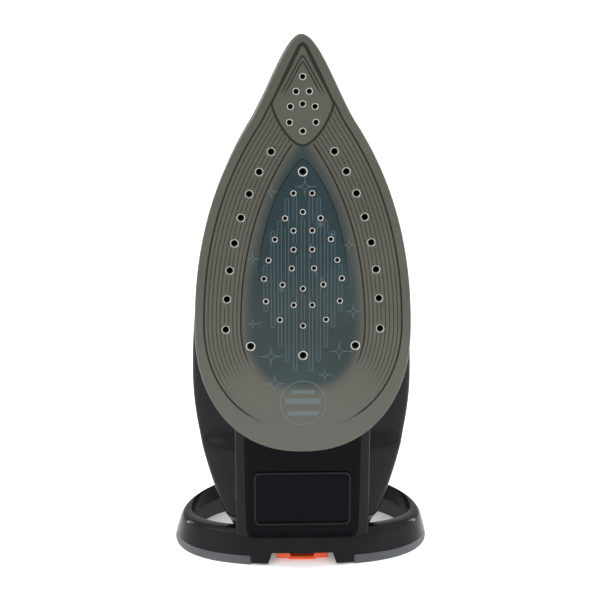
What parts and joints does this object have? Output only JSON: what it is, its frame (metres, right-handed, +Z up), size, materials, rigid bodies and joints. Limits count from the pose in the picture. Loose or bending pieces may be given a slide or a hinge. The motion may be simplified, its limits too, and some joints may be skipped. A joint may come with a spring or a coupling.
{
  "type": "steam iron",
  "caption": "Domestic steam iron standing on its ring-shaped heel, with a perforated enamelled sole, loop handle, water tank, dial, buttons and lime collector.",
  "frame": {"origin": "middle of the iron's footprint on the surface it stands on", "axes": "+Z up, the iron stands on its heel with the sole facing -Y and leaning back; the tip is at the top"},
  "size_m": [0.1482, 0.1566, 0.3067],
  "materials": {
    "sole_enamel": "satin metallic enamel with printed tints",
    "cast_aluminium": "as cast",
    "element_steel": "heat tinted",
    "steel": "zinc plated",
    "silicone_red": "matt silicone",
    "pressed_aluminium": "rolled sheet",
    "ceramic": "fired steatite",
    "brass": "turned brass",
    "shield_black": "heat resistant moulding",
    "tank_dark": "smoked moulding",
    "gasket_grey": "matt",
    "tank_tint": "smoked clear moulding",
    "door_tint": "smoked moulding",
    "tube_clear": "translucent hose",
    "pump_white": "acetal",
    "pump_grey": "acetal",
    "button_grey": "satin moulding",
    "orange": "moulded through",
    "shell_black": "satin black moulding",
    "column_black": "satin black moulding",
    "plate_black": "blank satin plate",
    "foot_grey": "matt elastomer",
    "bezel_grey": "satin paint",
    "dial_black": "fine spark texture",
    "lens_amber": "clear amber",
    "board_green": "solder mask",
    "lead_insulation": "glass fibre sleeve",
    "grip_grey": "fine texture",
    "grip_soft": "soft touch",
    "gland_rubber": "matt"
  },
  "bodies": {
    "iron": {"sole_skin": "sole_enamel", "sole_casting": "cast_aluminium", "heating_element": "element_steel", "element_terminals": "steel", "chamber_seal": "silicone_red", "chamber_cover": "pressed_aluminium", "thermostat": "ceramic", "thermal_fuse": "brass", "heat_shield": "shield_black", "shield_screws": "steel", "tank_base": "tank_dark", "tank_gasket": "gasket_grey", "tank_top": "tank_tint", "filler_neck": "shell_black", "door_pin": "steel", "spray_nozzle": "shell_black", "spray_tube": "tube_clear", "steam_tube": "silicone_red", "valve_seat": "brass", "spray_pump": "pump_white", "burst_pump": "pump_white", "spray_spring": "steel", "burst_spring": "steel", "rear_housing": "shell_black", "heel_column": "column_black", "rating_plate": "plate_black", "heel_hoop": "shell_black", "heel_foot": "foot_grey", "collector_sleeve": "pump_grey", "collector_duct": "pump_grey", "dial_bezel": "bezel_grey", "indicator_lens": "lens_amber", "control_board": "board_green", "terminal_block": "ceramic", "inner_leads": "lead_insulation", "rear_post": "shell_black", "grip_upper": "shell_black", "grip_lower": "grip_grey", "grip_inlay": "grip_soft", "front_post": "shell_black", "cord_gland": "gland_rubber", "cord_clamp": "pump_white", "clamp_screws": "steel"},
    "dial": {"dial": "dial_black", "dial_shaft": "steel"},
    "spray_key": {"spray_button": "button_grey", "spray_plunger": "pump_grey"},
    "burst_key": {"burst_button": "button_grey", "burst_plunger": "pump_grey"},
    "lever": {"steam_lever": "orange"},
    "valve": {"valve_rod": "steel"},
    "door": {"fill_door": "door_tint"},
    "collector": {"collector_cap": "orange", "collector_cartridge": "pump_white", "collector_seal": "silicone_red"}
  },
  "joints": [
    {"name": "dial_turn", "type": "hinge", "parent": "iron", "child": "dial", "pos_m": [0, 0.00922, 0.12331], "axis": [0, 0.9976, -0.0698], "range_deg": [0, 270]},
    {"name": "spray_press", "type": "slide", "parent": "iron", "child": "spray_key", "axis": [0, -0.9976, 0.0698], "range_m": [0, 0.004], "stiffness_N_per_m": 600, "springref_m": -0.003, "deforming": ["spray_spring"]},
    {"name": "burst_press", "type": "slide", "parent": "iron", "child": "burst_key", "axis": [0, -0.9976, 0.0698], "range_m": [0, 0.004], "stiffness_N_per_m": 600, "springref_m": -0.003, "deforming": ["burst_spring"]},
    {"name": "steam_slide", "type": "slide", "parent": "iron", "child": "lever", "axis": [0, 0.0698, 0.9976], "range_m": [0, 0.008]},
    {"name": "valve_lift", "type": "slide", "parent": "iron", "child": "valve", "axis": [0, 0.9976, -0.0698], "range_m": [0, 0.002]},
    {"name": "door_hinge", "type": "hinge", "parent": "iron", "child": "door", "pos_m": [0, -0.0038, 0.25254], "axis": [-1, 0, 0], "range_deg": [0, 100]},
    {"name": "collector_pull", "type": "slide", "parent": "iron", "child": "collector", "axis": [0, 0, -1], "range_m": [0, 0.06]}
  ],
  "couplings": [
    {"joint": "valve_lift", "follows": "steam_slide", "ratio": 0.25}
  ]
}
